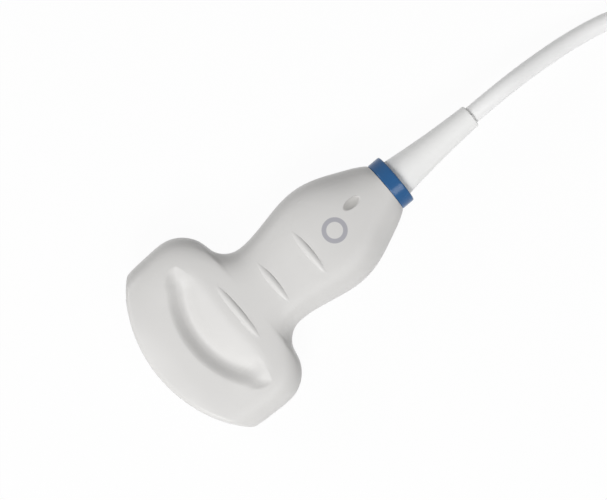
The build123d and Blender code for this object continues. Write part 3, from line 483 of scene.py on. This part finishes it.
LEVER = Finish(
    "lever_plastic", "lever", (0.20, 0.21, 0.235),
    roughness=0.42, roughness_swing=0.06, mottle=0.06, mottle_size=0.015, grain=0.2, grain_size=0.0006,
)


def only(piece: Piece) -> None:
    """Make one object the only selected and active one.

    Args:
        piece: that object.
    """
    if bpy.context.object and bpy.context.object.mode != "OBJECT":
        bpy.ops.object.mode_set(mode="OBJECT")
    bpy.ops.object.select_all(action="DESELECT")
    piece.select_set(True)
    bpy.context.view_layer.objects.active = piece


def painted(piece: Piece, finish: Finish) -> Piece:
    """Give a piece one finish all over.

    Args:
        piece: the piece to paint.
        finish: its finish.

    Returns:
        The same piece.
    """
    piece.data.materials.clear()
    piece.data.materials.append(finish.material())
    log.info("piece %s in %s", piece.name, finish.name)
    return piece


def carried(piece: Piece, finish: Finish, body: Body) -> Piece:
    """Paint a new piece and let it ride on a body.

    Args:
        piece: the new piece, in place.
        finish: its finish.
        body: the body that it moves with.

    Returns:
        The same piece.
    """
    painted(piece, finish)
    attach(piece, body.value)
    log.info("piece %s rides on %s", piece.name, body.value)
    return piece


def skin(node: str, merge: float = 2e-6) -> Piece:
    """Copy a solid's mesh and weld it.

    Args:
        node: name of the solid.
        merge: points closer than this are welded, in metres.

    Returns:
        The copy.
    """
    piece = bpy.data.objects.new(node + "_skin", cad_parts[node].data.copy())
    bpy.context.collection.objects.link(piece)
    only(piece)
    bpy.ops.object.mode_set(mode="EDIT")
    bpy.ops.mesh.select_all(action="SELECT")
    bpy.ops.mesh.remove_doubles(threshold=merge)
    bpy.ops.object.mode_set(mode="OBJECT")
    bpy.ops.mesh.customdata_custom_splitnormals_clear()
    return piece


def stood_in(piece: Piece, node: str, finish: Finish, body: Body, angle: float) -> Piece:
    """Shade a skin smoothly and let it stand in for its solid.

    Args:
        piece: the skin.
        node: name of the solid.
        finish: the skin's finish.
        body: the body that it moves with.
        angle: edges sharper than this stay sharp, in degrees.

    Returns:
        The same skin.
    """
    only(piece)
    bpy.ops.object.shade_smooth_by_angle(angle=radians(angle))
    weigh = piece.modifiers.new("weigh", "WEIGHTED_NORMAL")
    weigh.mode = "FACE_AREA"
    weigh.keep_sharp = True
    bpy.ops.object.modifier_apply(modifier=weigh.name)
    carried(piece, finish, body)
    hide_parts(node)
    return piece


def smoothed(node: str, finish: Finish, body: Body, angle: float = 32.0) -> Piece:
    """Stand a welded copy in for a solid, shaded smoothly over edges up to an angle."""
    return stood_in(skin(node), node, finish, body, angle)


def eased(value: float, start: float, end: float) -> float:
    """Give a smooth step from 0 at the start to 1 at the end."""
    share = min(1.0, max(0.0, (value - start) / (end - start)))
    return share * share * (3.0 - 2.0 * share)


@dataclass(frozen=True)
class Patch:
    """A part of a shell's face, in plan, that is cut into a fine net."""

    along: Pair
    aside: Pair
    step: Pair

    def cuts(self) -> list[tuple[Vector, Vector]]:
        """Give a point and a normal for each plane that cuts the patch.

        Returns:
            The planes across the patch, then those along it.
        """
        planes = []
        axes = (Vector((1.0, 0.0, 0.0)), Vector((0.0, 1.0, 0.0)))
        for axis, (start, end), step in zip(axes, (self.along, self.aside), self.step):
            count = round((end - start) / step)
            planes += [(axis * (start + index * (end - start) / count), axis) for index in range(count + 1)]
        return planes

    def meets(self, face: bmesh.types.BMFace) -> bool:
        """Tell whether a face's box in plan reaches into the patch.

        Args:
            face: a face of the shell.

        Returns:
            True if it does.
        """
        xs, ys = [point.co.x for point in face.verts], [point.co.y for point in face.verts]
        reaches = min(xs) < self.along[1] and max(xs) > self.along[0]
        return reaches and min(ys) < self.aside[1] and max(ys) > self.aside[0]

    def holds(self, point: Vector) -> bool:
        """Tell whether a point lies inside the patch."""
        return self.along[0] < point.x < self.along[1] and self.aside[0] < point.y < self.aside[1]


@dataclass(frozen=True)
class Face:
    """One shell's outer face, as the solid has it."""

    tree: BVHTree
    middle: float
    side: float
    above: float = 0.05

    def height(self, x: float, y: float) -> float:
        """Give the face's height over the shells' middle plane."""
        start = Vector((x, y, self.middle + self.side * self.above))
        return self.side * (self.tree.ray_cast(start, Vector((0.0, 0.0, -self.side)))[0].z - self.middle)

    def lift(self, point: bmesh.types.BMVert, rise: float) -> None:
        """Move a point outwards, or inwards where the rise is below zero."""
        point.co.z += self.side * rise


@dataclass
class Housing:
    """The two moulded shells and the lens in their nose.

    The scoop's floor, foot and wall and the nose band are placed by their distance from the nose's centre.
    """

    shells: tuple[tuple[str, float], ...] = (("front_shell", 1.0), ("rear_shell", -1.0))
    lens: str = "acoustic_lens"
    smooth_to: float = 40.0
    middle: float = SHELL_SEAM
    nose_centre: float = -0.02355
    # Where the net of faces is fine, and which faces and points belong to it
    scoop: Patch = Patch(along=(-0.0722, -0.0424), aside=(-0.036, 0.036), step=(0.0009, 0.0018))
    dimple: Patch = Patch(along=(0.0165, 0.0290), aside=(-0.0015, 0.0095), step=(0.0007, 0.0007))
    faces_out: float = 0.3
    least_height: float = 0.005
    cut_slack: float = 1e-7
    weld: float = 4e-5
    # Edge between the grip and the scoop's floor: where the grip is measured, where the edge fades out to
    # the sides, and how close grip and floor are where it is rounded
    grip_seen: Pair = (-0.0440, -0.0430)
    lip_ends: Pair = (0.0235, 0.0285)
    lip_blend: float = 0.0007
    # Scoop: where its floor is measured, its foot, its wall, and the turns where the wall fades out
    floor_seen: Pair = (0.030, 0.037)
    foot_from: float = 0.029
    foot_depth: float = 0.0007
    wall: Pair = (0.0343, 0.0420)
    wall_ends: Pair = (36.0, 47.0)
    # Nose band: where the solid's own face takes over, and a second place that gives its slope
    band_starts: Pair = (0.0452, 0.0465)
    band_next: float = 0.0485

    def build(self) -> None:
        """Dress the shells and the lens."""
        for shell, side in self.shells:
            piece = skin(shell)
            self.shape(piece, side)
            stood_in(piece, shell, HOUSING, Body.PROBE, self.smooth_to)
        smoothed(self.lens, LENS, Body.PROBE, self.smooth_to)

    def shape(self, piece: Piece, side: float) -> None:
        """Cut a shell's face into a finer net and soften the scoop's edges on it.

        Args:
            piece: the shell's skin.
            side: 1 for the front shell, -1 for the rear one.
        """
        net = bmesh.new()
        net.from_mesh(piece.data)
        face = Face(BVHTree.FromBMesh(net), self.middle, side)
        self.cut_net(net, side, self.dimple)
        points = self.cut_net(net, side, self.scoop)
        places = [self.seen_from_nose(point) for point in points]
        for point in points:
            self.soften_lip(point, face)
        self.roll_band(points, places, face)
        bmesh.ops.remove_doubles(net, verts=points, dist=self.weld)
        net.to_mesh(piece.data)
        net.free()

    def seen_from_nose(self, point: bmesh.types.BMVert) -> Pair:
        """Give a point's distance from the nose's centre and its turn off the axis, in degrees."""
        back, aside = self.nose_centre - point.co.x, point.co.y
        return hypot(back, aside), degrees(atan2(abs(aside), back))

    def floor_height(self, face: Face, x: float) -> float:
        """Give the height of the scoop's flat floor, carried on past its ends.

        Args:
            face: the shell's face.
            x: the place along the probe.

        Returns:
            The height over the shells' middle plane.
        """
        near, far = (face.height(self.nose_centre - back, 0.0) for back in self.floor_seen)
        fall = (far - near) / (self.floor_seen[1] - self.floor_seen[0])
        return near + fall * (self.nose_centre - x - self.floor_seen[0])

    def soften_lip(self, point: bmesh.types.BMVert, face: Face) -> None:
        """Round the edge between the grip and the scoop's floor.

        Args:
            point: the point to move.
            face: the shell's face.
        """
        x, y, _ = point.co
        share = 1.0 - eased(abs(y), *self.lip_ends)
        near, far = (face.height(place, y) for place in self.grip_seen)
        grip = near + (far - near) * (x - self.grip_seen[0]) / (self.grip_seen[1] - self.grip_seen[0])
        close = max(0.0, self.lip_blend - abs(grip - self.floor_height(face, x)))
        face.lift(point, -share * close * close / (4.0 * self.lip_blend))

    def roll_band(self, points: list[bmesh.types.BMVert], places: list[Pair], face: Face) -> None:
        """Let the nose band roll gently into the scoop.

        Args:
            points: the net's points.
            places: for each point, its distance and turn as seen from the nose's centre.
            face: the shell's face.
        """
        for point, (radius, turn) in zip(points, places):
            if not self.foot_from < radius < self.band_starts[1] or turn > self.wall_ends[1]:
                continue
            inward = 1.0 - eased(turn, *self.wall_ends)
            if radius < self.wall[0]:
                face.lift(point, -inward * self.foot_depth * eased(radius, self.foot_from, self.wall[0]))
                continue
            back, aside = self.nose_centre - point.co.x, point.co.y
            edge, beyond = (
                face.height(self.nose_centre - back * reach / radius, aside * reach / radius)
                for reach in (self.band_starts[1], self.band_next)
            )
            slope = (edge - beyond) / (self.band_next - self.band_starts[1])
            band = edge + slope * (self.band_starts[1] - radius)
            floor = self.floor_height(face, point.co.x) - self.foot_depth
            rolled = floor + max(0.0, band - floor) * eased(radius, *self.wall)
            share = inward * (1.0 - eased(radius, *self.band_starts))
            point.co.z += share * (self.middle + face.side * rolled - point.co.z)

    def cut_net(self, net: bmesh.types.BMesh, side: float, patch: Patch) -> list[bmesh.types.BMVert]:
        """Cut the outer faces of a patch into a fine net.

        Args:
            net: the shell's mesh.
            side: 1 for the front shell, -1 for the rear one.
            patch: where the net lies.

        Returns:
            The points inside the net.
        """
        faces = [
            face
            for face in net.faces
            if side * face.normal.z > self.faces_out
            and side * (face.calc_center_median().z - self.middle) > self.least_height
            and patch.meets(face)
        ]
        for place, normal in patch.cuts():
            parts = {part: None for face in faces for part in (face, *face.edges, *face.verts)}
            done = bmesh.ops.bisect_plane(
                net, geom=list(parts), dist=self.cut_slack, plane_co=place, plane_no=normal
            )
            faces = [part for part in done["geom"] if isinstance(part, bmesh.types.BMFace)]
        inside = set(faces)
        points = {point: None for face in faces for point in face.verts}
        return [
            point for point in points if patch.holds(point.co) and inside.issuperset(point.link_faces)
        ]


@dataclass
class Inside:
    """Everything that the housing and the connector close off."""

    dressed: tuple[tuple[Finish, tuple[str, ...]], ...] = (
        (MATCHING, ("outer_matching_layer", "inner_matching_layer")),
        (CERAMIC, ("piezo_elements",)),
        (BACKING, ("backing_block",)),
        (CHASSIS, ("chassis",)),
        (FLEX, ("front_flex", "rear_flex")),
        (BOARD, ("front_board", "rear_board", "connector_board")),
        (SOCKET, ("front_socket", "rear_socket")),
        (SHIELD, ("front_shield", "rear_shield")),
        (STEEL, ("board_standoffs", "board_screws", "braid_ferrule", "clamp_screws")),
        (STEEL, ("entry_ferrule", "shaft_clip")),
        (WIRES, ("front_wires", "rear_wires")),
        (CLAMP, ("upper_clamp", "lower_clamp")),
        (SEAL, ("tail_seal",)),
        (JACKET, ("cable_root", "cable_entry")),
    )

    def dress(self) -> None:
        """Paint each inner solid."""
        for finish, nodes in self.dressed:
            for node in nodes:
                painted(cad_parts[node], finish)


@dataclass
class Tail:
    """The coloured ring and the strain relief behind the housing."""

    ring: str = "colour_ring"
    relief: str = "strain_relief"

    def build(self) -> None:
        """Dress both."""
        smoothed(self.ring, RING, Body.PROBE)
        smoothed(self.relief, RELIEF, Body.PROBE)


@dataclass
class Connector:
    """The system connector on the cable's far end."""

    outer: tuple[tuple[str, Finish, Body], ...] = (
        ("connector_base", CASE, Body.PROBE),
        ("connector_cover", CASE, Body.PROBE),
        ("contact_block", BLOCK, Body.PROBE),
        ("connector_boot", RELIEF, Body.PROBE),
        ("connector_screws", STEEL, Body.PROBE),
        ("lock_shaft", STEEL, Body.LOCK),
        ("lock_lever", LEVER, Body.LOCK),
        ("lever_screw", STEEL, Body.LOCK),
    )
    pads: str = "contact_pads"
    inner: tuple[str, ...] = ("cable_entry", "entry_ferrule", "connector_board", "shaft_clip")

    def build(self) -> list[Piece]:
        """Dress the connector's outer pieces.

        Returns:
            The pieces that go with the cable.
        """
        pieces = [smoothed(node, finish, body) for node, finish, body in self.outer]
        pieces.append(painted(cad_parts[self.pads], CONTACTS))
        return pieces + [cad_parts[node] for node in self.inner]


@dataclass
class Cable:
    """The cable from the strain relief to the connector, with its put-away coil.

    Its places and sizes are in millimetres, and its length in metres.
    """

    diameter: float = 7.4
    length: float = 2.08
    curve_order: int = 3
    curve_steps: int = 6
    round_steps: int = 5
    coil_centre: Pair = (223.782, 9.879)
    coil_from: float = -115.0
    coil_turns: float = 8.0 + 55.0 / 360.0
    turn_points: int = 16
    lead: tuple[Triple, ...] = (
        (82.45, 0.0, 13.535),
        (99.5, 0.0, 13.535),
        (117.0, -0.9, 10.0),
        (134.5, -2.7, 6.3),
        (151.5, -6.1, 4.75),
        (166.5, -12.4, 4.75),
        (179.641, -18.528, 4.75),
        (192.3, -24.45, 4.75),
    )
    tail: tuple[Triple, ...] = (
        (258.1, -21.57, 26.6),
        (270.231, -14.572, 24.2),
        (280.623, -8.572, 20.4),
        (293.023, -5.172, 18.95),
        (305.023, -5.172, 18.95),
    )
    # Radius and height of the first turn, and the steps to the side and up that the later turns take:
    # for each, the turns where it starts and ends, and its size in diameters
    first_turn: Pair = (44.4, 4.75)
    side_steps: tuple[Triple, ...] = ((2.65, 3.0, -1.0), (5.1, 5.45, -1.0), (7.65, 8.153, 2.0))
    climbs: tuple[Triple, ...] = (
        (0.65, 1.0, 1.0),
        (1.65, 2.0, 1.0),
        (3.3, 3.65, -1.0),
        (4.3, 4.65, -1.0),
        (5.9, 6.25, 1.0),
        (6.9, 7.25, 1.0),
        (7.66, 7.88, 1.0),
    )

    def moved(self, turn: float, steps: tuple[Triple, ...]) -> float:
        """Add up the steps that are taken by a number of turns, in millimetres."""
        return sum(size * self.diameter * eased(turn, start, end) for start, end, size in steps)

    def wound(self, turn: float) -> Pair:
        """Give the coil's radius and height at a number of turns, in millimetres."""
        radius, height = self.first_turn
        return radius + self.moved(turn, self.side_steps), height + self.moved(turn, self.climbs)

    def coil_points(self) -> list[Triple]:
        """Give the coil's control points.

        Returns:
            The points along the turns, in millimetres.
        """
        count = round(self.coil_turns * self.turn_points)
        points = []
        for index in range(count + 1):
            turn = self.coil_turns * index / count
            radius, height = self.wound(turn)
            angle = radians(self.coil_from + 360.0 * turn)
            x = self.coil_centre[0] + radius * cos(angle)
            points.append((x, self.coil_centre[1] + radius * sin(angle), height))
        return points

    def build(self, far_pieces: list[Piece]) -> None:
        """Draw the cable as one smooth line, with its strap.

        Args:
            far_pieces: the connector's pieces; not used.
        """
        route = list(self.lead) + self.coil_points() + list(self.tail)
        curve = bpy.data.curves.new("cable", "CURVE")
        curve.dimensions = "3D"
        curve.resolution_u = self.curve_steps
        curve.bevel_depth = self.diameter / 2 * MM
        curve.bevel_resolution = self.round_steps
        curve.use_fill_caps = True
        spline = curve.splines.new("NURBS")
        spline.points.add(len(route) - 1)
        for point, place in zip(spline.points, route):
            point.co = (place[0] * MM, place[1] * MM, place[2] * MM, 1.0)
        spline.order_u = self.curve_order
        spline.use_endpoint_u = True
        cable = bpy.data.objects.new("cable_line", curve)
        bpy.context.collection.objects.link(cable)
        carried(cable, JACKET, Body.PROBE)
        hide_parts("cable_lead", "cable_coil", "cable_tail")
        strap = smoothed("coil_strap", STRAP, Body.PROBE)


def backdrop_rays(tree: bpy.types.NodeTree) -> NodeSocket:
    """Give 1 to the rays that show the backdrop: the camera's, reflected and transmitted ones.

    Args:
        tree: nodes of the floor or of the world.

    Returns:
        The share, 0 or 1.
    """
    rays = tree.nodes.new("ShaderNodeLightPath")
    shown = rays.outputs["Is Camera Ray"]
    for kind in ("Is Glossy Ray", "Is Transmission Ray"):
        either = tree.nodes.new("ShaderNodeMath")
        either.operation = "MAXIMUM"
        tree.links.new(shown, either.inputs[0])
        tree.links.new(rays.outputs[kind], either.inputs[1])
        shown = either.outputs["Value"]
    return shown


@dataclass(frozen=True)
class Lamp:
    """A round soft lamp, with its power in watts."""

    name: str
    power: float
    size: float
    off: Triple

    def hang(self, aim: Vector) -> None:
        """Hang the lamp away from a point, and turn it to that point.

        Args:
            aim: the point that it lights.
        """
        light = bpy.data.lights.new(self.name, "AREA")
        light.energy = self.power
        light.shape = "DISK"
        light.size = self.size
        lamp = bpy.data.objects.new(self.name, light)
        bpy.context.collection.objects.link(lamp)
        lamp.location = aim + Vector(self.off)
        lamp.rotation_euler = (-Vector(self.off)).to_track_quat("-Z", "Y").to_euler()


@dataclass
class Studio:
    """Pale floor, soft light and a camera straight above, with its sensor's width in millimetres."""

    look_at: Triple = (-0.0045, 0.002, 0.0136)
    picture_turn: float = -40.09
    picture_width: float = 0.2462
    distance: float = 0.75
    sensor: float = 36.0
    floor_size: float = 6.0
    floor_colour: Triple = (0.75, 0.75, 0.75)
    floor_glow: float = 0.96
    sky: float = 0.17
    lamps: tuple[Lamp, ...] = (
        Lamp("left", power=3.45, size=0.4, off=(-0.46, 0.84, 0.52)),
        Lamp("front", power=6.3, size=0.45, off=(-0.62, -0.50, 0.76)),
        Lamp("right", power=2.75, size=0.5, off=(0.10, -0.70, 0.87)),
        Lamp("sheen", power=1.95, size=0.22, off=(-0.42, -0.10, 1.0)),
    )

    def floor(self) -> None:
        """Lay the floor, white to the camera apart from the shadow on it."""
        bpy.ops.object.select_all(action="DESELECT")
        bpy.ops.mesh.primitive_plane_add(size=self.floor_size, location=(0.0, 0.0, 0.0))
        floor = bpy.context.object
        floor.name = "floor"
        material = bpy.data.materials.new("floor_paper")
        material.use_nodes = True
        tree = material.node_tree
        tree.nodes.clear()
        output = tree.nodes.new("ShaderNodeOutputMaterial")
        paper = tree.nodes.new("ShaderNodeBsdfDiffuse")
        paper.inputs["Color"].default_value = rgba(self.floor_colour)
        glow = tree.nodes.new("ShaderNodeEmission")
        share = tree.nodes.new("ShaderNodeMath")
        share.operation = "MULTIPLY"
        share.inputs[1].default_value = self.floor_glow
        tree.links.new(backdrop_rays(tree), share.inputs[0])
        mix = tree.nodes.new("ShaderNodeMixShader")
        tree.links.new(share.outputs[0], mix.inputs[0])
        tree.links.new(paper.outputs[0], mix.inputs[1])
        tree.links.new(glow.outputs[0], mix.inputs[2])
        tree.links.new(mix.outputs[0], output.inputs["Surface"])
        floor.data.materials.append(material)

    def light(self) -> None:
        """Set an even sky, white where it is seen, and hang the lamps."""
        world = bpy.data.worlds.new("studio")
        bpy.context.scene.world = world
        world.use_nodes = True
        tree = world.node_tree
        tree.nodes.clear()
        output = tree.nodes.new("ShaderNodeOutputWorld")
        fill = tree.nodes.new("ShaderNodeBackground")
        fill.inputs["Strength"].default_value = self.sky
        shown = tree.nodes.new("ShaderNodeBackground")
        shown.inputs["Strength"].default_value = 1.0
        for background in (fill, shown):
            background.inputs["Color"].default_value = (1.0, 1.0, 1.0, 1.0)
        mix = tree.nodes.new("ShaderNodeMixShader")
        tree.links.new(backdrop_rays(tree), mix.inputs[0])
        tree.links.new(fill.outputs[0], mix.inputs[1])
        tree.links.new(shown.outputs[0], mix.inputs[2])
        tree.links.new(mix.outputs[0], output.inputs["Surface"])
        for lamp in self.lamps:
            lamp.hang(Vector(self.look_at))

    def camera(self) -> None:
        """Set the camera above the probe, turned as the picture is."""
        lens = bpy.data.cameras.new("camera")
        lens.sensor_fit = "HORIZONTAL"
        lens.sensor_width = self.sensor
        lens.lens = self.sensor * self.distance / self.picture_width
        camera = bpy.data.objects.new("camera", lens)
        bpy.context.collection.objects.link(camera)
        turn = Matrix.Rotation(radians(self.picture_turn), 4, "Z")
        stand = Vector(self.look_at) + Vector((0.0, 0.0, self.distance))
        camera.matrix_world = Matrix.Translation(stand) @ turn
        bpy.context.scene.camera = camera

    def build(self) -> None:
        """Set up floor, light and camera."""
        self.floor()
        self.light()
        self.camera()
        bpy.context.scene.view_settings.view_transform = "Standard"


def main() -> None:
    """Build the dressed probe and its studio."""
    logging.basicConfig(level=logging.INFO, format="%(message)s")
    Studio().build()
    Inside().dress()
    Housing().build()
    Tail().build()
    Cable().build(Connector().build())


if __name__ == "__main__":
    main()
